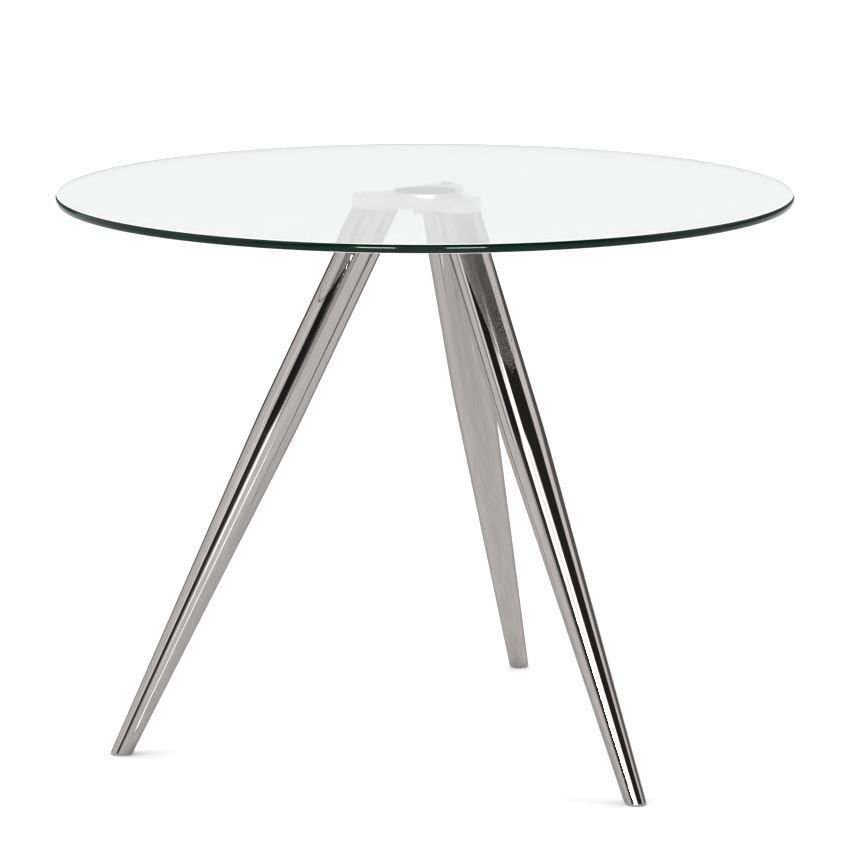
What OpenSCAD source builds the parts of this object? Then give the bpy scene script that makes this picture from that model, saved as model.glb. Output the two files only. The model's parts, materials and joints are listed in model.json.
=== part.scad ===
// Round dining table: a clear glass disc on a fixed tripod of chromed tapered tubes.
// The tubes meet under a three-lobed hub, and a steel disc bonded to the glass is bolted to it.
// Origin on the floor under the middle of the top, +Z up, leg 1 towards +Y. Sizes in mm.

/* [Table] */
// Diameter of the glass top
top_d = 1000; // [900:10:1100]
// Height of the top's upper face above the floor
table_h = 770; // [720:5:790]
// Distance from the rim of the top in to the middle of each foot
foot_inset = 75; // [50:5:110]

/* [Glass] */
// Thickness of the glass
glass_t = 12; // [8:1:15]
// Radius of the arc to which the rim is ground and polished, seen in section
rim_r = 8; // [8:0.5:14]

/* [Legs] */
// Outside diameter of the tube above its taper
leg_d = 58; // [50:1:64]
// Outside diameter of the tube at the floor
foot_d = 28; // [24:1:34]
// Height at which the taper ends and the tube runs straight
taper_h = 458; // [400:2:520]
// Wall of the tube
wall = 1.5; // [1.2:0.1:2.5]
// Thickness of the threaded plate welded inside the top of each tube
plate_t = 8; // [6:1:10]

/* [Hub] */
// Distance from the table's axis to each tube's axis at the underside of the hub
leg_top_r = 68; // [62:1:76]
// Thickness of the hub
hub_t = 18; // [16:1:24]
// Diameter of the steel disc bonded under the glass
disc_d = 84; // [76:1:88]
// Thickness of that disc
disc_t = 8; // [6:0.5:9]
// Wall of the hub round the disc, where it is thinnest, between two legs
waist_wall = 5.5; // [4:0.5:8]

/* [Fittings] */
// Thickness of the clear pads between hub and glass
pad_t = 2; // [1.5:0.5:3]
// Diameter of those pads
pad_d = 16; // [12:1:18]
// Height by which each glide holds its tube off the floor
glide_t = 3; // [2:0.5:4]
// Thread of the two screws that hold each leg
leg_screw_d = 8; // [6:1:8]
// Thread of the three bolts that hold the glass
glass_bolt_d = 6; // [5:1:8]

/* [Hidden] */
$fn = 96;
LEGS = [1, 2, 3];

// Clearances: round a thread, round a shank, between disc and recess, between glide and tube
thread_gap = 0.05;
shank_gap = 0.5;
recess_gap = 0.5;
plug_gap = 0.1;

// Heights, from the top down
glass_z = table_h - glass_t;
hub_top = glass_z - pad_t;
hub_z = hub_top - hub_t;
recess_z = glass_z - disc_t;

// Lines of the legs: the tubes lean in as they rise
foot_r = top_d / 2 - foot_inset;
tilt = atan((foot_r - leg_top_r) / hub_z);
taper_len = taper_h / cos(tilt);
leg_len = hub_z / cos(tilt);
over = leg_d;

// Outline of the hub: a round lobe over each tube, joined by hollow curves at the waist.
// A level cut through a leaning tube is an ellipse, and the lobe reaches as far out as it does.
lobe_a = leg_d / 2;
lobe_r = leg_top_r + lobe_a / cos(tilt) - lobe_a;
waist_r = disc_d / 2 + recess_gap + waist_wall;
waist_curve = (pow(waist_r, 2) + pow(lobe_r, 2) - waist_r * lobe_r - pow(lobe_a, 2))
    / (lobe_r + 2 * lobe_a - 2 * waist_r);

// Fasteners, by the proportions of their threads
screw_side = leg_d / 4;
screw_r = leg_top_r + 2;
screw_len = hub_t + plate_t - 1;
head_d = 2 * leg_screw_d;
pad_r = lobe_r + lobe_a - pad_d / 2 - 3;
bolt_r = disc_d / 2 - 2 * glass_bolt_d;
bolt_head = 5 / 3 * glass_bolt_d;
washer_d = 2 * glass_bolt_d;
washer_t = 1.6;
bolt_cover = 1;

// Bore of the tube at its mouth, which the glide's stem passes
mouth_r = foot_d / 2 - wall - 0.2;
stem_len = 18;
rib_t = 2;

// Turns what is drawn along +X to leg i
module at_leg(i) {
    rotate([0, 0, 120 * i - 30]) children();
}

// Turns what is drawn along +X to the gap after leg i
module at_gap(i) {
    rotate([0, 0, 120 * i + 30]) children();
}

// Stands what is drawn along +Z on the leg's axis, with z = 0 where that axis meets the floor
module on_leg_axis() {
    translate([foot_r, 0, 0]) rotate([0, -tilt, 0]) children();
}

// Level slice of what is drawn, from height z0 to height z1
module level_slice(z0, z1) {
    intersection() {
        children();
        translate([-top_d, -top_d, z0]) cube([2 * top_d, 2 * top_d, z1 - z0]);
    }
}

// Solid of the tube's outside, with its surface moved in by inset
module leg_form(inset) {
    slope = (leg_d - foot_d) / 2 / taper_len;
    low = foot_d;
    rotate_extrude()
        polygon([
            [0, -low],
            [foot_d / 2 - slope * low - inset, -low],
            [leg_d / 2 - inset, taper_len],
            [leg_d / 2 - inset, leg_len + over],
            [0, leg_len + over]
        ]);
}

// Outline of the hub: its round lobes, joined where they meet the hollow curves tangentially
module hub_outline() {
    waist_d = waist_r + waist_curve;
    meet = atan2(waist_d * sin(60), waist_d / 2 - lobe_r);
    difference() {
        union() {
            polygon([
                for (i = LEGS, side = [-1, 1])
                    let (a = 120 * i - 30, b = a + side * meet)
                        [lobe_r * cos(a) + lobe_a * cos(b), lobe_r * sin(a) + lobe_a * sin(b)]
            ]);
            for (i = LEGS) rotate(120 * i - 30) translate([lobe_r, 0]) circle(lobe_a);
        }
        for (i = LEGS) rotate(120 * i + 30) translate([waist_d, 0]) circle(waist_curve);
    }
}

// Sheet of glass, its rim ground to an arc between the two faces
module glass_top() {
    r = top_d / 2;
    color([0.78, 0.88, 0.85, 0.35])
        translate([0, 0, glass_z])
            rotate_extrude($fn = 360)
                intersection() {
                    square([r, glass_t]);
                    union() {
                        translate([0, -glass_t]) square([r - rim_r, 3 * glass_t]);
                        translate([r - rim_r, glass_t / 2]) circle(rim_r);
                    }
                }
}

// Steel disc bonded to the glass, with blind threads for the three bolts
module bonded_disc() {
    color("silver")
        difference() {
            translate([0, 0, recess_z]) cylinder(d = disc_d, h = disc_t);
            for (i = LEGS) at_gap(i)
                translate([bolt_r, 0, recess_z - 1])
                    cylinder(d = glass_bolt_d + 2 * thread_gap, h = disc_t - bolt_cover + 1);
        }
}

// Cast hub: a recess for the disc, and holes for the bolts and the countersunk screws
module hub() {
    color([0.80, 0.80, 0.80])
        difference() {
            translate([0, 0, hub_z]) linear_extrude(hub_t) hub_outline();
            translate([0, 0, recess_z]) cylinder(d = disc_d + 2 * recess_gap, h = hub_t);
            for (i = LEGS) {
                at_gap(i)
                    translate([bolt_r, 0, hub_z - 1])
                        cylinder(d = glass_bolt_d + 2 * shank_gap, h = hub_t);
                at_leg(i) for (side = [-1, 1])
                    translate([screw_r, side * screw_side, hub_z - 1]) screw_hole(hub_t + 1);
            }
        }
}

// Clearance hole of depth h under a countersink that ends flush
module screw_hole(h) {
    cone_h = (head_d - leg_screw_d) / 2;
    cylinder(d = leg_screw_d + 2 * shank_gap, h = h + 1);
    translate([0, 0, h - cone_h - shank_gap])
        cylinder(d1 = leg_screw_d, d2 = head_d + 2, h = cone_h + 1);
}

module support_pad(i) {
    color([0.86, 0.88, 0.88])
        at_leg(i) translate([pad_r, 0, hub_top]) cylinder(d = pad_d, h = pad_t);
}

module leg(i) {
    color([0.80, 0.80, 0.80])
        at_leg(i)
            level_slice(glide_t, hub_z)
                on_leg_axis()
                    difference() {
                        leg_form(0);
                        leg_form(wall);
                    }
}

// Oval plate welded flush into the top of the tube, with two threads
module leg_end_plate(i) {
    color("gray")
        at_leg(i) difference() {
            level_slice(hub_z - plate_t, hub_z) on_leg_axis() leg_form(wall);
            for (side = [-1, 1])
                translate([screw_r, side * screw_side, hub_z - plate_t - 1])
                    cylinder(d = leg_screw_d + 2 * thread_gap, h = plate_t + 2);
        }
}

// Two countersunk screws, down through a lobe of the hub into the end plate
module leg_screws(i) {
    cone_h = (head_d - leg_screw_d) / 2;
    color("silver")
        at_leg(i) for (side = [-1, 1])
            translate([screw_r, side * screw_side, hub_top - shank_gap])
                difference() {
                    union() {
                        translate([0, 0, shank_gap - screw_len])
                            cylinder(d = leg_screw_d, h = screw_len - shank_gap);
                        translate([0, 0, -cone_h])
                            cylinder(d1 = leg_screw_d, d2 = head_d, h = cone_h);
                    }
                    translate([0, 0, -leg_screw_d / 3])
                        cylinder(d = 0.72 * leg_screw_d, h = leg_screw_d, $fn = 6);
                }
}

// Socket-head bolt, up through the hub into the bonded disc
module glass_bolt(i) {
    color("silver")
        at_gap(i) translate([bolt_r, 0, hub_z - washer_t])
            difference() {
                union() {
                    translate([0, 0, -glass_bolt_d]) cylinder(d = bolt_head, h = glass_bolt_d);
                    translate([0, 0, -1])
                        cylinder(d = glass_bolt_d, h = glass_z - bolt_cover - hub_z + washer_t);
                }
                translate([0, 0, -1.5 * glass_bolt_d])
                    cylinder(d = 0.96 * glass_bolt_d, h = glass_bolt_d, $fn = 6);
            }
}

module glass_washer(i) {
    color("silver")
        at_gap(i) translate([bolt_r, 0, hub_z - washer_t])
            difference() {
                cylinder(d = washer_d, h = washer_t);
                translate([0, 0, -1]) cylinder(d = glass_bolt_d + 0.4, h = washer_t + 2);
            }
}

// Nylon glide: a sole under the cut end of the tube and a ribbed stem pushed up inside it
module foot_glide(i) {
    color([0.55, 0.56, 0.57])
        at_leg(i) {
            level_slice(0, glide_t) on_leg_axis() leg_form(wall / 3);
            level_slice(glide_t, table_h) on_leg_axis() {
                cylinder(r = mouth_r - plug_gap, h = 2 * stem_len, center = true);
                for (k = [1, 2]) translate([0, 0, k * stem_len / 2 - rib_t])
                    cylinder(r = mouth_r + 0.2, h = rib_t);
            }
        }
}

glass_top();
bonded_disc();
hub();
for (i = LEGS) {
    support_pad(i);
    leg(i);
    leg_end_plate(i);
    leg_screws(i);
    glass_bolt(i);
    glass_washer(i);
    foot_glide(i);
}
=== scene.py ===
import json
import math
import bmesh
import bpy
from mathutils import Matrix, Vector


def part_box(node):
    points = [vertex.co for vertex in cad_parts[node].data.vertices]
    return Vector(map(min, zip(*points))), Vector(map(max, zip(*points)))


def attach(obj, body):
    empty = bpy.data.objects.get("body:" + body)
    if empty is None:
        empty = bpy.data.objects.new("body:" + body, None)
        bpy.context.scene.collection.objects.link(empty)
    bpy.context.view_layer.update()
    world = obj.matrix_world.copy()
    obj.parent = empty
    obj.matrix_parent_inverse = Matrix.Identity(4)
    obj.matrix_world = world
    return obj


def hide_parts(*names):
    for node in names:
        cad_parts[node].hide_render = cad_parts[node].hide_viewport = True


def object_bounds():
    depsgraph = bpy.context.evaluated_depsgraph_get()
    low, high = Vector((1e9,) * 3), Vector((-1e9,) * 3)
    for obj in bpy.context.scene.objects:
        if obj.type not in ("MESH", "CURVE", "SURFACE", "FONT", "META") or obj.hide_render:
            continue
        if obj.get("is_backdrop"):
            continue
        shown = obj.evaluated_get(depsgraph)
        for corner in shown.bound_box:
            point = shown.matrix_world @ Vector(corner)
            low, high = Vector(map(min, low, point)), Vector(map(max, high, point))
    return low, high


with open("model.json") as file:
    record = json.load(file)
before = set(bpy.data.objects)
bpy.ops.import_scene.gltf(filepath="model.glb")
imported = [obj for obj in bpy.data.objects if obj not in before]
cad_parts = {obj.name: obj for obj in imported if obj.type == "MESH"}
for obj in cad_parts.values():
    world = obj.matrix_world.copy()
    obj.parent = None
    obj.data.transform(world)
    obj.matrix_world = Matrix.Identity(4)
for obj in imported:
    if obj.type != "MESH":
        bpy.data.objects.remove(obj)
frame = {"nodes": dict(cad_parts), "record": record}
record = frame["record"]
scene = bpy.context.scene
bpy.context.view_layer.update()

# ---------------------------------------------------------------------------------------------
# Legs. Three welded steel tubes, 58 mm across at the top and swaged to 28 mm at the floor.
# Each is cut level at both ends, polished lengthways on a belt and chrome plated, and its top
# is screwed up against one lobe of the hub.
# ---------------------------------------------------------------------------------------------
leg_numbers = (1, 2, 3)
mounts = {mount["name"]: Vector(mount["pos_m"]) for mount in record["mounts"]}
foot_reach = mounts["foot_1"].length
tube_radius = (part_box("leg_1")[1].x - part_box("leg_1")[0].x) / 2
tube_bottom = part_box("leg_1")[0].z
tube_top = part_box("leg_1")[1].z
foot_radius = 0.014
top_reach = 0.068
tube_wall = 0.0015
taper_height = 0.458
lean = math.atan((foot_reach - top_reach) / tube_top)
taper_length = taper_height / math.cos(lean)
taper_rate = (tube_radius - foot_radius) / taper_length
swage_blend = 0.022
swage_start = taper_length - swage_blend
swage_end = taper_length + swage_blend
end_gap = 0.022
cut_rounding = 0.0006
tube_sides = 160


def linear(code):
    """Linear RGBA of an sRGB hex colour."""
    parts = [int(code[i : i + 2], 16) / 255 for i in (1, 3, 5)]
    return [p / 12.92 if p <= 0.04045 else ((p + 0.055) / 1.055) ** 2.4 for p in parts] + [1.0]


def add(tree, kind, inputs=None, **settings):
    """A new node in the tree, with its settings, and each input set or linked."""
    node = tree.nodes.new(kind)
    for name, value in settings.items():
        setattr(node, name, value)
    for key, value in (inputs or {}).items():
        socket = node.inputs[key]
        if isinstance(value, bpy.types.NodeSocket):
            tree.links.new(value, socket)
        else:
            socket.default_value = value
    return node


def new_material(name):
    """A material with no nodes yet, and its node tree."""
    material = bpy.data.materials.new(name)
    material.use_nodes = True
    material.node_tree.nodes.clear()
    return material, material.node_tree


def object_from(bm, name, material, sharp=math.radians(35)):
    """A smooth shaded object from a bmesh, creased where its faces meet more steeply than sharp."""
    bmesh.ops.recalc_face_normals(bm, faces=bm.faces)
    for face in bm.faces:
        face.smooth = True
    for edge in bm.edges:
        edge.smooth = len(edge.link_faces) == 2 and edge.calc_face_angle() < sharp
    mesh = bpy.data.meshes.new(name)
    bm.to_mesh(mesh)
    bm.free()
    piece = bpy.data.objects.new(name, mesh)
    scene.collection.objects.link(piece)
    if material:
        mesh.materials.append(material)
    weigh = piece.modifiers.new("even_normals", "WEIGHTED_NORMAL")
    weigh.keep_sharp = True
    return piece


def skin(bm, rings, closed=False):
    """Faces between rings of points, each ring joined to the next."""
    loops = [[bm.verts.new(p) for p in ring] for ring in rings]
    pairs = list(zip(loops, loops[1:]))
    if closed:
        pairs.append((loops[-1], loops[0]))
    for a, b in pairs:
        n = len(a)
        for i in range(n):
            j = (i + 1) % n
            bm.faces.new((a[i], a[j], b[j], b[i]))
    return loops


def tube_radius_at(along):
    """Outside radius of the tube at a distance along its axis, with the swage run out smoothly."""
    if along <= swage_start:
        return foot_radius + taper_rate * along
    past = min(along, swage_end) - swage_start
    return foot_radius + taper_rate * (swage_start + past - past * past / (4 * swage_blend))


def tube_point(along, turn, inset):
    """A point on the tube, in the leg's own frame, with the foot towards +X."""
    r = tube_radius_at(along) - inset
    out = r * math.cos(turn)
    return Vector((
        foot_reach - along * math.sin(lean) + out * math.cos(lean),
        r * math.sin(turn),
        along * math.cos(lean) + out * math.sin(lean),
    ))


def level_ring(height, inset):
    """Ring of points where the tube, inset from its outside, is cut level."""
    ring = []
    for i in range(tube_sides):
        turn = 2 * math.pi * i / tube_sides
        along = height / math.cos(lean)
        # Each pass slides the point along the tube towards the height, and twelve settle it
        for _ in range(12):
            along += (height - tube_point(along, turn, inset).z) / math.cos(lean)
        ring.append(tube_point(along, turn, inset))
    return ring


def axial_ring(along, inset):
    """Ring of points square to the tube's axis."""
    return [tube_point(along, 2 * math.pi * i / tube_sides, inset) for i in range(tube_sides)]


def cut_corner(height, inward, inset, steps=3):
    """Level rings that round the edge where the tube's wall meets a cut end."""
    rings = []
    for k in range(steps + 1):
        a = math.pi / 2 * k / steps
        side = cut_rounding * (1 - math.cos(a))
        back = cut_rounding * (1 - math.sin(a))
        rings.append(level_ring(height + inward * back, inset + side * (1 if inset == 0 else -1)))
    return rings


# Rings lie close together where the swage runs out, and wide apart along the straight stretches
last_stop = tube_top / math.cos(lean) - end_gap
axial_stops = [end_gap + (swage_start - end_gap) * k / 6 for k in range(6)]
axial_stops += [swage_start + (swage_end - swage_start) * k / 10 for k in range(10)]
axial_stops += [swage_end + (last_stop - swage_end) * k / 5 for k in range(6)]
leg_mesh = bmesh.new()
outer = cut_corner(tube_bottom, 1, 0)[::-1]
outer += [axial_ring(along, 0) for along in axial_stops]
outer += cut_corner(tube_top, -1, 0)
inner = cut_corner(tube_top, -1, tube_wall)[::-1]
inner += [axial_ring(along, tube_wall) for along in reversed(axial_stops)]
inner += cut_corner(tube_bottom, 1, tube_wall)
skin(leg_mesh, outer + inner, closed=True)

# Polished chrome plate: a mirror with a warm grey cast. The belt leaves lines and faint waves
# that run the length of the tube, drawn 1.2 mm and 7 mm apart so that they show as hairlines.
chrome_tube, tree = new_material("polished_chrome_tube")
place = add(tree, "ShaderNodeTexCoord").outputs["Object"]
upright = add(tree, "ShaderNodeMapping", {"Vector": place, "Rotation": (0, lean, 0)})
drawn = add(tree, "ShaderNodeMapping", {"Vector": upright.outputs[0], "Scale": (1, 1, 0.01)})
belt_lines = add(tree, "ShaderNodeTexNoise", {
    "Vector": drawn.outputs[0], "Scale": 1 / 0.0012, "Detail": 2.0, "Roughness": 0.7,
})
belt_waves = add(tree, "ShaderNodeTexNoise", {
    "Vector": drawn.outputs[0], "Scale": 1 / 0.007, "Detail": 2.0,
})
haze = add(tree, "ShaderNodeTexNoise", {"Vector": place, "Scale": 1 / 0.05, "Detail": 4.0})
wave_bump = add(tree, "ShaderNodeBump", {
    "Strength": 1.0, "Distance": 0.00002, "Height": belt_waves.outputs[0],
})
tube_rough = add(tree, "ShaderNodeMapRange", {"Value": haze.outputs[0], "To Min": 0.02, "To Max": 0.05})
tube_colour = add(tree, "ShaderNodeValToRGB", {"Fac": belt_lines.outputs[0]})
tube_colour.color_ramp.elements[0].position = 0.3
tube_colour.color_ramp.elements[0].color = linear("#96918f")
tube_colour.color_ramp.elements[1].position = 0.7
tube_colour.color_ramp.elements[1].color = linear("#aaa6a5")
mirror = add(tree, "ShaderNodeBsdfPrincipled", {
    "Base Color": tube_colour.outputs[0], "Metallic": 1.0, "Roughness": tube_rough.outputs[0],
    "Specular Tint": linear("#b4b4b4"), "Normal": wave_bump.outputs[0],
})
add(tree, "ShaderNodeOutputMaterial", {"Surface": mirror.outputs[0]})

first_leg = object_from(leg_mesh, "chromed_leg_1", chrome_tube)
legs = [first_leg]
for number in leg_numbers[1:]:
    leg = first_leg.copy()
    leg.name = f"chromed_leg_{number}"
    scene.collection.objects.link(leg)
    legs.append(leg)
for number, leg in zip(leg_numbers, legs):
    foot = mounts[f"foot_{number}"]
    leg.matrix_world = Matrix.Rotation(math.atan2(foot.y, foot.x), 4, "Z")
    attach(leg, "root")
    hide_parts(f"leg_{number}")

# ---------------------------------------------------------------------------------------------
# End plates. An oval of 8 mm hot-rolled plate, tapped twice and welded flush into each tube.
# Left bare, so it has the mill's grey-brown scale with the marks of the rolls.
# ---------------------------------------------------------------------------------------------


def dress(nodes, material):
    """Gives CAD nodes a material in place of their plain one."""
    for name in nodes:
        for slot in frame["nodes"][name].material_slots:
            slot.material = material


mill_steel, tree = new_material("mill_steel_plate")
place = add(tree, "ShaderNodeTexCoord").outputs["Object"]
rolled = add(tree, "ShaderNodeMapping", {"Vector": place, "Scale": (1, 0.1, 1)})
scale_spots = add(tree, "ShaderNodeTexNoise", {
    "Vector": rolled.outputs[0], "Scale": 1 / 0.004, "Detail": 5.0,
})
scale_colour = add(tree, "ShaderNodeMix", {
    "Factor": scale_spots.outputs[0], "A": linear("#55524f"), "B": linear("#7d7c7b"),
}, data_type="RGBA")
scale_rough = add(tree, "ShaderNodeMapRange", {
    "Value": scale_spots.outputs[0], "To Min": 0.42, "To Max": 0.62,
})
scale_bump = add(tree, "ShaderNodeBump", {
    "Strength": 0.4, "Distance": 0.00005, "Height": scale_spots.outputs[0],
})
plate = add(tree, "ShaderNodeBsdfPrincipled", {
    "Base Color": scale_colour.outputs["Result"], "Metallic": 1.0, "Roughness": scale_rough.outputs[0],
    "Normal": scale_bump.outputs[0],
})
add(tree, "ShaderNodeOutputMaterial", {"Surface": plate.outputs[0]})
dress([f"leg_end_plate_{n}" for n in leg_numbers], mill_steel)

# ---------------------------------------------------------------------------------------------
# Foot glides. A moulded grey nylon sole under each tube, with a ribbed stem pushed up inside.
# Matt, with the fine spark texture of its mould, and it keeps the chrome off the floor.
# ---------------------------------------------------------------------------------------------
nylon, tree = new_material("moulded_nylon_glide")
place = add(tree, "ShaderNodeTexCoord").outputs["Object"]
spark = add(tree, "ShaderNodeTexNoise", {"Vector": place, "Scale": 1 / 0.0006, "Detail": 2.0})
flow = add(tree, "ShaderNodeTexNoise", {"Vector": place, "Scale": 1 / 0.008, "Detail": 2.0})
nylon_colour = add(tree, "ShaderNodeMix", {
    "Factor": flow.outputs[0], "A": linear("#8d8e8f"), "B": linear("#a0a1a1"),
}, data_type="RGBA")
nylon_rough = add(tree, "ShaderNodeMapRange", {
    "Value": spark.outputs[0], "To Min": 0.45, "To Max": 0.6,
})
spark_bump = add(tree, "ShaderNodeBump", {
    "Strength": 0.3, "Distance": 0.00003, "Height": spark.outputs[0],
})
glide = add(tree, "ShaderNodeBsdfPrincipled", {
    "Base Color": nylon_colour.outputs["Result"], "Roughness": nylon_rough.outputs[0], "IOR": 1.53,
    "Normal": spark_bump.outputs[0],
})
add(tree, "ShaderNodeOutputMaterial", {"Surface": glide.outputs[0]})
dress([f"foot_glide_{n}" for n in leg_numbers], nylon)

# ---------------------------------------------------------------------------------------------
# Hub. Cast with a lobe over each tube and a hollow-sided waist between lobes, milled flat and
# bored for the disc, the bolts and the screws. Polishing leaves its edges softly rounded, and
# chrome plating follows.
# ---------------------------------------------------------------------------------------------
hub_low, hub_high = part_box("hub")
disc_low, disc_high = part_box("bonded_disc")
disc_radius = (disc_high.x - disc_low.x) / 2
recess_clearance = 0.0005
waist_wall = 0.0055
lobe_radius = tube_radius
lobe_reach = top_reach + tube_radius / math.cos(lean) - tube_radius
recess_radius = disc_radius + recess_clearance
waist_reach = recess_radius + waist_wall
waist_curve = (
    waist_reach**2 + lobe_reach**2 - waist_reach * lobe_reach - lobe_radius**2
) / (lobe_reach + 2 * lobe_radius - 2 * waist_reach)
waist_centre = waist_reach + waist_curve
edge_rounding = 0.0012
edge_steps = 6
lobe_steps = 24
bolt_inset = 0.012
bolt_reach = disc_radius - bolt_inset
bolt_hole_radius = 0.0035
screw_offset = 0.002
screw_reach = top_reach + screw_offset
screw_side = tube_radius / 2
screw_hole_radius = 0.0045
countersink_radius = 0.0085
countersink_depth = 0.004


def hub_outline(inset, height):
    """Ring of points round the hub: three lobes and three hollow waists, at one height."""
    points = []
    meet = math.atan2(waist_centre * math.sin(math.pi / 3), waist_centre / 2 - lobe_reach)
    for number in leg_numbers:
        axis = math.radians(120 * number - 30)
        middle = lobe_reach * Vector((math.cos(axis), math.sin(axis)))
        for k in range(2 * lobe_steps + 1):
            a = axis + meet * (k / lobe_steps - 1)
            points.append(middle + (lobe_radius - inset) * Vector((math.cos(a), math.sin(a))))
        gap = axis + math.pi / 3
        middle = waist_centre * Vector((math.cos(gap), math.sin(gap)))
        first = axis + meet + math.pi
        last = gap + math.pi / 3 - meet + math.pi
        for k in range(1, lobe_steps):
            a = first + (last - first) * k / lobe_steps
            points.append(middle + (waist_curve + inset) * Vector((math.cos(a), math.sin(a))))
    return [Vector((p.x, p.y, height)) for p in points]


def turned(bm, profile, centre, sides):
    """A closed solid turned about a vertical axis from (radius, height) pairs."""
    rings = []
    for radius, height in profile:
        ring = []
        for i in range(sides):
            a = 2 * math.pi * i / sides
            ring.append(Vector((centre.x + radius * math.cos(a), centre.y + radius * math.sin(a), height)))
        rings.append(ring)
    loops = skin(bm, rings)
    bm.faces.new(loops[0][::-1])
    bm.faces.new(loops[-1])


def cut_away(piece, tool):
    """Takes the tool's solid out of the piece."""
    cut = piece.modifiers.new("cut", "BOOLEAN")
    cut.operation = "DIFFERENCE"
    cut.solver = "EXACT"
    cut.object = tool


hub_mesh = bmesh.new()
hub_rings = []
for k in range(edge_steps + 1):
    a = math.pi / 2 * k / edge_steps
    hub_rings.append((edge_rounding * (1 - math.sin(a)), hub_low.z + edge_rounding * (1 - math.cos(a))))
hub_rings += [(inset, hub_low.z + hub_high.z - height) for inset, height in reversed(hub_rings)]
loops = skin(hub_mesh, [hub_outline(inset, height) for inset, height in hub_rings])
hub_mesh.faces.new(loops[0][::-1])
hub_mesh.faces.new(loops[-1])
rough_hub = object_from(hub_mesh, "hub_blank", None)
rough_hub.modifiers.clear()

run_out = 0.01
tools = []
tool = bmesh.new()
turned(tool, [(recess_radius, disc_low.z), (recess_radius, hub_high.z + run_out)], Vector((0, 0)), 192)
tools.append(object_from(tool, "recess_tool", None))
tool = bmesh.new()
for number in leg_numbers:
    gap = math.radians(120 * number + 30)
    middle = bolt_reach * Vector((math.cos(gap), math.sin(gap)))
    turned(tool, [
        (bolt_hole_radius, hub_low.z - run_out), (bolt_hole_radius, disc_low.z + run_out / 2),
    ], middle, 48)
tools.append(object_from(tool, "bolt_tool", None))
tool = bmesh.new()
for number in leg_numbers:
    axis = math.radians(120 * number - 30)
    along = Vector((math.cos(axis), math.sin(axis)))
    across = Vector((-along.y, along.x))
    for side in (-1, 1):
        middle = screw_reach * along + side * screw_side * across
        turned(tool, [
            (screw_hole_radius, hub_low.z - run_out),
            (screw_hole_radius, hub_high.z - countersink_depth),
            (countersink_radius, hub_high.z), (countersink_radius, hub_high.z + run_out),
        ], middle, 48)
tools.append(object_from(tool, "screw_tool", None))
for tool in tools:
    tool.modifiers.clear()
    cut_away(rough_hub, tool)
bpy.context.view_layer.update()
machined = rough_hub.evaluated_get(bpy.context.evaluated_depsgraph_get())
cut_hub = bpy.data.meshes.new_from_object(machined)
finished = bmesh.new()
finished.from_mesh(cut_hub)
for leftover in [rough_hub, *tools]:
    bpy.data.objects.remove(leftover)

# Polished chrome on a casting: the same plate as the tubes, over a slightly softer polish
# with broad, shallow buffing waves about 12 mm apart.
chrome_hub, tree = new_material("polished_chrome_casting")
place = add(tree, "ShaderNodeTexCoord").outputs["Object"]
buffing = add(tree, "ShaderNodeTexNoise", {"Vector": place, "Scale": 1 / 0.012, "Detail": 2.0})
film = add(tree, "ShaderNodeTexNoise", {"Vector": place, "Scale": 1 / 0.03, "Detail": 4.0})
buff_bump = add(tree, "ShaderNodeBump", {
    "Strength": 1.0, "Distance": 0.00002, "Height": buffing.outputs[0],
})
hub_rough = add(tree, "ShaderNodeMapRange", {"Value": film.outputs[0], "To Min": 0.02, "To Max": 0.06})
tint = add(tree, "ShaderNodeMix", {
    "Factor": film.outputs[0], "A": linear("#bfbcbb"), "B": linear("#c8c5c4"),
}, data_type="RGBA")
mirror = add(tree, "ShaderNodeBsdfPrincipled", {
    "Base Color": tint.outputs["Result"], "Metallic": 1.0, "Roughness": hub_rough.outputs[0],
    "Normal": buff_bump.outputs[0],
})
add(tree, "ShaderNodeOutputMaterial", {"Surface": mirror.outputs[0]})
hub = object_from(finished, "chromed_hub", chrome_hub)
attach(hub, "root")
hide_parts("hub")

# ---------------------------------------------------------------------------------------------
# Screws, bolts and washers. Two countersunk screws hold each leg, and three socket-head bolts
# with washers hold the disc in the hub. They are forged steel, zinc plated and passivated: a soft
# blue-grey metal with a little yellow where the passivate lies thick.
# ---------------------------------------------------------------------------------------------
zinc_plate, tree = new_material("zinc_plated_fastener")
place = add(tree, "ShaderNodeTexCoord").outputs["Object"]
grain = add(tree, "ShaderNodeTexNoise", {"Vector": place, "Scale": 1 / 0.0008, "Detail": 3.0})
passivate = add(tree, "ShaderNodeTexNoise", {"Vector": place, "Scale": 1 / 0.005, "Detail": 2.0})
zinc_colour = add(tree, "ShaderNodeMix", {
    "Factor": passivate.outputs[0], "A": linear("#aeb6bf"), "B": linear("#c2bda9"),
}, data_type="RGBA")
zinc_rough = add(tree, "ShaderNodeMapRange", {
    "Value": grain.outputs[0], "To Min": 0.24, "To Max": 0.42,
})
zinc_bump = add(tree, "ShaderNodeBump", {
    "Strength": 0.25, "Distance": 0.00002, "Height": grain.outputs[0],
})
fastener = add(tree, "ShaderNodeBsdfPrincipled", {
    "Base Color": zinc_colour.outputs["Result"], "Metallic": 1.0, "Roughness": zinc_rough.outputs[0],
    "Normal": zinc_bump.outputs[0],
})
add(tree, "ShaderNodeOutputMaterial", {"Surface": fastener.outputs[0]})
for kind in ("leg_screws", "glass_bolt", "glass_washer"):
    dress([f"{kind}_{n}" for n in leg_numbers], zinc_plate)

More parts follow.
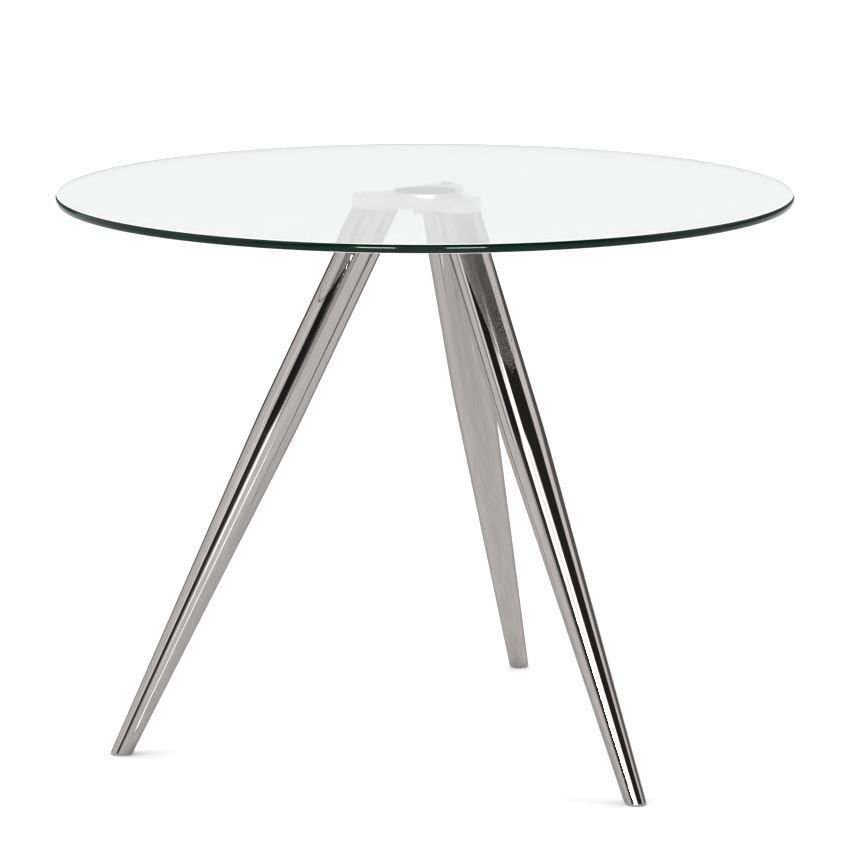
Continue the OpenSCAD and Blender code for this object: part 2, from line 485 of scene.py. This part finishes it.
# ---------------------------------------------------------------------------------------------
# Support pads. Clear soft buttons, 16 mm across, one on each lobe, so that glass never
# touches metal. Cast silicone: translucent, matt, faintly milky.
# ---------------------------------------------------------------------------------------------
silicone, tree = new_material("clear_silicone_pad")
place = add(tree, "ShaderNodeTexCoord").outputs["Object"]
cloud = add(tree, "ShaderNodeTexNoise", {"Vector": place, "Scale": 1 / 0.004, "Detail": 3.0})
pad_colour = add(tree, "ShaderNodeMix", {
    "Factor": cloud.outputs[0], "A": linear("#e4e8e8"), "B": linear("#f2f4f4"),
}, data_type="RGBA")
pad_rough = add(tree, "ShaderNodeMapRange", {"Value": cloud.outputs[0], "To Min": 0.3, "To Max": 0.45})
soft = add(tree, "ShaderNodeBsdfPrincipled", {
    "Base Color": pad_colour.outputs["Result"], "Roughness": pad_rough.outputs[0], "IOR": 1.41,
    "Transmission Weight": 0.6,
})
add(tree, "ShaderNodeOutputMaterial", {"Surface": soft.outputs[0]})
dress([f"support_pad_{n}" for n in leg_numbers], silicone)

# ---------------------------------------------------------------------------------------------
# Bonded disc. Stainless bar faced and turned to 84 mm, tapped for the bolts and glued under
# the glass. The lathe leaves concentric lines, drawn here 3.1 mm apart so that they show.
# ---------------------------------------------------------------------------------------------
turning_gap = 0.00314
stainless, tree = new_material("turned_stainless_disc")
place = add(tree, "ShaderNodeTexCoord").outputs["Object"]
lines = add(tree, "ShaderNodeTexWave", {
    "Vector": place, "Scale": math.pi / 10 / turning_gap,
    "Distortion": 0.15, "Detail": 1.0, "Detail Scale": 2.0,
}, wave_type="RINGS", rings_direction="Z")
stain = add(tree, "ShaderNodeTexNoise", {"Vector": place, "Scale": 1 / 0.01, "Detail": 3.0})
disc_colour = add(tree, "ShaderNodeMix", {
    "Factor": stain.outputs[0], "A": linear("#e6e4e1"), "B": linear("#efedeb"),
}, data_type="RGBA")
disc_rough = add(tree, "ShaderNodeMapRange", {
    "Value": lines.outputs["Fac"], "To Min": 0.36, "To Max": 0.46,
})
line_bump = add(tree, "ShaderNodeBump", {
    "Strength": 0.5, "Distance": 0.00001, "Height": lines.outputs["Fac"],
})
disc = add(tree, "ShaderNodeBsdfPrincipled", {
    "Base Color": disc_colour.outputs["Result"], "Metallic": 1.0, "Roughness": disc_rough.outputs[0],
    "Normal": line_bump.outputs[0],
})
add(tree, "ShaderNodeOutputMaterial", {"Surface": disc.outputs[0]})
dress(["bonded_disc"], stainless)

# ---------------------------------------------------------------------------------------------
# Glass top. Clear soda-lime float glass, 12 mm thick and 1 m across, cut round, its rim ground
# to an arc and polished, its two corners taken off and left matt, then toughened. Light that
# runs along the sheet is turned green by the iron in it.
# ---------------------------------------------------------------------------------------------
glass_low, glass_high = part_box("glass_top")
glass_radius = min(-glass_low.x, glass_high.x, -glass_low.y, glass_high.y)
glass_middle = (glass_low.z + glass_high.z) / 2
rim_arc = 0.008
corner_break = 0.0005
rim_sides = 720
rim_steps = 12
rim_tilt = math.asin((glass_high.z - glass_middle - corner_break / 2) / rim_arc)
glass_mesh = bmesh.new()
glass_profile = []
for k in range(2 * rim_steps + 1):
    tilt = rim_tilt * (k / rim_steps - 1)
    reach = glass_radius - rim_arc * (1 - math.cos(tilt))
    glass_profile.append((reach, glass_middle + rim_arc * math.sin(tilt)))
glass_profile.insert(0, (glass_profile[0][0] - corner_break, glass_low.z))
glass_profile.append((glass_profile[-1][0] - corner_break, glass_high.z))
turned(glass_mesh, glass_profile, Vector((0, 0)), rim_sides)

# Float glass: fire-polished faces, with a faint ripple 120 mm long that bends only reflections.
# A coat on the upper face makes its reflections a little stronger.
clear_glass, tree = new_material("clear_float_glass")
place = add(tree, "ShaderNodeTexCoord").outputs["Object"]
ripple = add(tree, "ShaderNodeTexNoise", {"Vector": place, "Scale": 1 / 0.12, "Detail": 1.0})
ripple_bump = add(tree, "ShaderNodeBump", {
    "Strength": 1.0, "Distance": 0.00001, "Height": ripple.outputs[0],
})
heights = add(tree, "ShaderNodeSeparateXYZ", {0: place})
upper_face = add(tree, "ShaderNodeMath", {
    0: heights.outputs[2], 1: glass_middle,
}, operation="GREATER_THAN")
glass = add(tree, "ShaderNodeBsdfPrincipled", {
    "Base Color": linear("#ffffff"), "Roughness": 0.0, "IOR": 1.52, "Transmission Weight": 1.0,
    "Coat Weight": upper_face.outputs[0], "Coat Roughness": 0.0, "Coat IOR": 1.5,
    "Normal": ripple_bump.outputs[0],
})
through = add(tree, "ShaderNodeBsdfTransparent", {"Color": linear("#fcfefd")})
ray = add(tree, "ShaderNodeLightPath")
lit = add(tree, "ShaderNodeMixShader", {
    0: ray.outputs["Is Shadow Ray"], 1: glass.outputs[0], 2: through.outputs[0],
})
iron = add(tree, "ShaderNodeVolumeAbsorption", {"Color": linear("#69a39a"), "Density": 5.0})
add(tree, "ShaderNodeOutputMaterial", {"Surface": lit.outputs[0], "Volume": iron.outputs[0]})

# Seamed corner: stoned by hand and left unpolished, so it catches the light as a thin white line.
ground_glass, tree = new_material("seamed_glass_arris")
place = add(tree, "ShaderNodeTexCoord").outputs["Object"]
grit = add(tree, "ShaderNodeTexNoise", {"Vector": place, "Scale": 1 / 0.0012, "Detail": 2.0})
grit_rough = add(tree, "ShaderNodeMapRange", {"Value": grit.outputs[0], "To Min": 0.45, "To Max": 0.7})
grit_colour = add(tree, "ShaderNodeMix", {
    "Factor": grit.outputs[0], "A": linear("#f4f8f7"), "B": linear("#ffffff"),
}, data_type="RGBA")
seam = add(tree, "ShaderNodeBsdfPrincipled", {
    "Base Color": grit_colour.outputs["Result"], "Roughness": grit_rough.outputs[0], "IOR": 1.52,
    "Transmission Weight": 0.1,
})
add(tree, "ShaderNodeOutputMaterial", {"Surface": seam.outputs[0]})

# Polished rim: light that enters here is lost along the sheet, so under its gloss the rim is a
# deep green-black, with faint marks of the polishing wheel 6 mm apart.
rim_glass, tree = new_material("polished_glass_rim")
place = add(tree, "ShaderNodeTexCoord").outputs["Object"]
depth = add(tree, "ShaderNodeTexNoise", {"Vector": place, "Scale": 1 / 0.04, "Detail": 3.0})
wheel_marks = add(tree, "ShaderNodeTexNoise", {"Vector": place, "Scale": 1 / 0.006, "Detail": 2.0})
rim_colour = add(tree, "ShaderNodeMix", {
    "Factor": depth.outputs[0], "A": linear("#041a13"), "B": linear("#082a20"),
}, data_type="RGBA")
rim_rough = add(tree, "ShaderNodeMapRange", {
    "Value": wheel_marks.outputs[0], "To Min": 0.03, "To Max": 0.07,
})
rim_bump = add(tree, "ShaderNodeBump", {
    "Strength": 0.2, "Distance": 0.00001, "Height": wheel_marks.outputs[0],
})
rim = add(tree, "ShaderNodeBsdfPrincipled", {
    "Base Color": rim_colour.outputs["Result"], "Roughness": rim_rough.outputs[0], "IOR": 1.52,
    "Specular IOR Level": 0.12, "Normal": rim_bump.outputs[0],
})
add(tree, "ShaderNodeOutputMaterial", {"Surface": rim.outputs[0]})

top = object_from(glass_mesh, "round_glass_top", clear_glass)
top.data.materials.append(ground_glass)
top.data.materials.append(rim_glass)
for face in top.data.polygons:
    if abs(face.normal.z) < 0.999:
        near_corner = abs(face.center.z - glass_middle) > glass_high.z - glass_middle - corner_break
        face.material_index = 1 if near_corner else 2
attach(top, "root")
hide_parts("glass_top")

# ---------------------------------------------------------------------------------------------
# Studio. A pale floor and a soft dome of light. Directions are told from the camera's side of
# the table: 0 is straight behind the table, 90 to the right, 180 behind the camera.
# ---------------------------------------------------------------------------------------------
view_turn = math.radians(19.2831)
pale_floor, tree = new_material("pale_studio_floor")
place = add(tree, "ShaderNodeTexCoord").outputs["Object"]
mottle = add(tree, "ShaderNodeTexNoise", {"Vector": place, "Scale": 1 / 0.5, "Detail": 3.0})
floor_colour = add(tree, "ShaderNodeMix", {
    "Factor": mottle.outputs[0], "A": linear("#f6f6f6"), "B": linear("#f9f9f9"),
}, data_type="RGBA")
paint = add(tree, "ShaderNodeBsdfPrincipled", {
    "Base Color": floor_colour.outputs["Result"], "Roughness": 0.9, "Specular IOR Level": 0.0,
})
add(tree, "ShaderNodeOutputMaterial", {"Surface": paint.outputs[0]})
floor_mesh = bmesh.new()
floor_reach = 12.0
floor_sides = 72
floor_turns = [2 * math.pi * i / floor_sides for i in range(floor_sides)]
floor_ring = [Vector((floor_reach * math.cos(a), floor_reach * math.sin(a), 0)) for a in floor_turns]
floor_mesh.faces.new([floor_mesh.verts.new(p) for p in floor_ring])
floor = object_from(floor_mesh, "studio_floor", pale_floor)
floor.modifiers.clear()
floor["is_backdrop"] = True

# Three lamps that only polished surfaces see: a strip on the floor, from the left foot towards
# the camera, and two upright panels far out in front, which give the rim its two glints.
lamp_white, tree = new_material("lamp_strip")
strip_light = add(tree, "ShaderNodeEmission", {"Color": linear("#ffffff"), "Strength": 3.2})
add(tree, "ShaderNodeOutputMaterial", {"Surface": strip_light.outputs[0]})
panel_white, tree = new_material("lamp_panel")
panel_light = add(tree, "ShaderNodeEmission", {"Color": linear("#ffffff"), "Strength": 220.0})
add(tree, "ShaderNodeOutputMaterial", {"Surface": panel_light.outputs[0]})


def lamp(name, material, pairs):
    """A ribbon of light between pairs of points, given as right, away and up from the camera's side."""
    mesh = bmesh.new()
    turn = Matrix.Rotation(view_turn, 3, "Z")
    verts = [[mesh.verts.new(turn @ Vector(point)) for point in pair] for pair in pairs]
    for a, b in zip(verts, verts[1:]):
        mesh.faces.new((a[0], a[1], b[1], b[0]))
    piece = object_from(mesh, name, material)
    piece.modifiers.clear()
    for ray_kind in ("camera", "diffuse", "transmission", "shadow"):
        setattr(piece, f"visible_{ray_kind}", False)
    piece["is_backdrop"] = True


# The strip's middle line and width, as right, away and across
strip_line = [(-0.36, -0.16, 0.02), (-0.06, -0.91, 0.1), (0.24, -1.66, 0.22)]
strip_height = 0.004
strip_pairs = [
    [(right - across / 2, away, strip_height), (right + across / 2, away, strip_height)]
    for right, away, across in strip_line
]
lamp("floor_lamp", lamp_white, strip_pairs)
panel_low, panel_high = 2.45, 3.1
panel_ends = {
    "left_panel": [(-3.6, -9.86), (-1.6, -10.38)],
    "right_panel": [(1.16, -10.43), (3.17, -10.0)],
}
for name, ends in panel_ends.items():
    panel_pairs = [[(right, away, panel_low), (right, away, panel_high)] for right, away in ends]
    lamp(name, panel_white, panel_pairs)

# The dome brightens upwards from base_low to base_high, and its zones are lamps and dark flags.
# A zone is from and to azimuth, from and to elevation, brightness, softness of its edges and the
# slant of its upper edge about slant_centre, all in degrees but the brightness and the slant.
base_low, base_high = 0.84, 2.35
rise_start, rise_end = 18.0, 45.0
slant_centre = 198.0
zones = [
    (236, 320, -4, 34, 1.25, 2.0, 0.0),
    (236, 246, 1, 16, 1.8, 1.0, 0.0),
    (246, 253, -4, 4, 0.6, 1.0, 0.0),
    (250, 262, 15, 32, 1.65, 1.0, 0.0),
    (48, 104, 17, 40, 1.5, 1.5, 0.0),
    (10, 76, -4, 17, 0.25, 2.0, 0.0),
    (316, 350, -4, 14, 0.2, 2.0, 0.0),
    (104, 222, 19, 75, 0.04, 1.5, 0.0),
    (192, 236, 5.5, 30, 0.03, 1.0, 0.0),
    (214, 226, -4, 12, 0.08, 1.0, 0.0),
    (181, 203, 12, 24, 3.4, 0.8, 0.36),
    (203, 207.5, 13, 17, 3.4, 0.8, 0.0),
    (163, 182, 15, 27, 3.4, 0.8, 0.0),
    (183, 189, 15, 23.5, 1.8, 0.8, 0.0),
    (190, 203, -4, 3.5, 3.0, 0.8, 0.0),
]
world = bpy.data.worlds.new("studio_dome")
scene.world = world
world.use_nodes = True
tree = world.node_tree
tree.nodes.clear()
look = add(tree, "ShaderNodeTexCoord").outputs["Generated"]
facing = add(tree, "ShaderNodeVectorRotate", {"Vector": look, "Angle": -view_turn}, rotation_type="Z_AXIS")
axes = add(tree, "ShaderNodeSeparateXYZ", {0: facing.outputs[0]})
to_degrees = 180 / math.pi
heading = add(tree, "ShaderNodeMath", {0: axes.outputs[0], 1: axes.outputs[1]}, operation="ARCTAN2")
bearing = add(tree, "ShaderNodeMath", {0: heading.outputs[0], 1: to_degrees}, operation="MULTIPLY")
wrapped = add(tree, "ShaderNodeMath", {0: bearing.outputs[0], 1: 360.0, 2: 0.0}, operation="WRAP")
azimuth = wrapped.outputs[0]
climb = add(tree, "ShaderNodeMath", {0: axes.outputs[2]}, operation="ARCSINE")
climb_degrees = add(tree, "ShaderNodeMath", {0: climb.outputs[0], 1: to_degrees}, operation="MULTIPLY")
elevation = climb_degrees.outputs[0]
glow = add(tree, "ShaderNodeMapRange", {
    "Value": elevation,
    "From Min": rise_start, "From Max": rise_end, "To Min": base_low, "To Max": base_high,
}, interpolation_type="SMOOTHSTEP").outputs[0]


def soft_band(first, start, second, end, soft):
    """1 between two soft edges: past start in the first measure, short of end in the second."""
    edges = []
    for measure, edge in ((first, start), (second, end)):
        edges.append(add(tree, "ShaderNodeMapRange", {
            "Value": measure, "From Min": edge - soft, "From Max": edge + soft,
        }, interpolation_type="SMOOTHSTEP"))
    return add(tree, "ShaderNodeMath", {
        0: edges[0].outputs[0], 1: edges[1].outputs[0],
    }, operation="SUBTRACT").outputs[0]


for start, end, low, high, level, soft, slant in zones:
    upper = elevation
    if slant:
        beside = add(tree, "ShaderNodeMath", {0: azimuth, 1: slant_centre}, operation="SUBTRACT")
        upper = add(tree, "ShaderNodeMath", {
            0: beside.outputs[0], 1: slant, 2: elevation,
        }, operation="MULTIPLY_ADD").outputs[0]
    wide = soft_band(azimuth, start, azimuth, end, soft)
    tall = soft_band(elevation, low, upper, high, soft)
    zone = add(tree, "ShaderNodeMath", {0: wide, 1: tall}, operation="MULTIPLY", use_clamp=True)
    glow = add(tree, "ShaderNodeMix", {"Factor": zone.outputs[0], "A": glow, "B": level}).outputs["Result"]

# Seen directly, the dome is plain white
seen = add(tree, "ShaderNodeLightPath").outputs["Is Camera Ray"]
plain = add(tree, "ShaderNodeMix", {"Factor": seen, "A": glow, "B": 1.0}).outputs["Result"]
dome = add(tree, "ShaderNodeBackground", {"Color": linear("#ffffff"), "Strength": plain})
add(tree, "ShaderNodeOutputWorld", {"Surface": dome.outputs[0]})
world.cycles.sampling_method = "MANUAL"
world.cycles.sample_map_resolution = 2048

# Camera: a long lens at standing eye height, looking a little down at the table.
camera_distance = 5.4489
camera_height = 1.5169
camera_pitch = math.radians(11.1349)
camera_focal = 171.483
lens = bpy.data.cameras.new("camera")
lens.sensor_width = 36.0
lens.lens = camera_focal
lens.clip_start, lens.clip_end = 0.1, 200.0
camera = bpy.data.objects.new("camera", lens)
camera_way = Vector((math.sin(view_turn), -math.cos(view_turn), 0))
camera.location = camera_distance * camera_way + Vector((0, 0, camera_height))
camera.rotation_euler = (math.pi / 2 - camera_pitch, 0, view_turn)
scene.collection.objects.link(camera)
scene.camera = camera
scene.view_settings.view_transform = "Standard"
scene.cycles.max_bounces = 24
scene.cycles.glossy_bounces = 20
scene.cycles.transmission_bounces = 20

bpy.context.view_layer.update()
low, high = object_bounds()
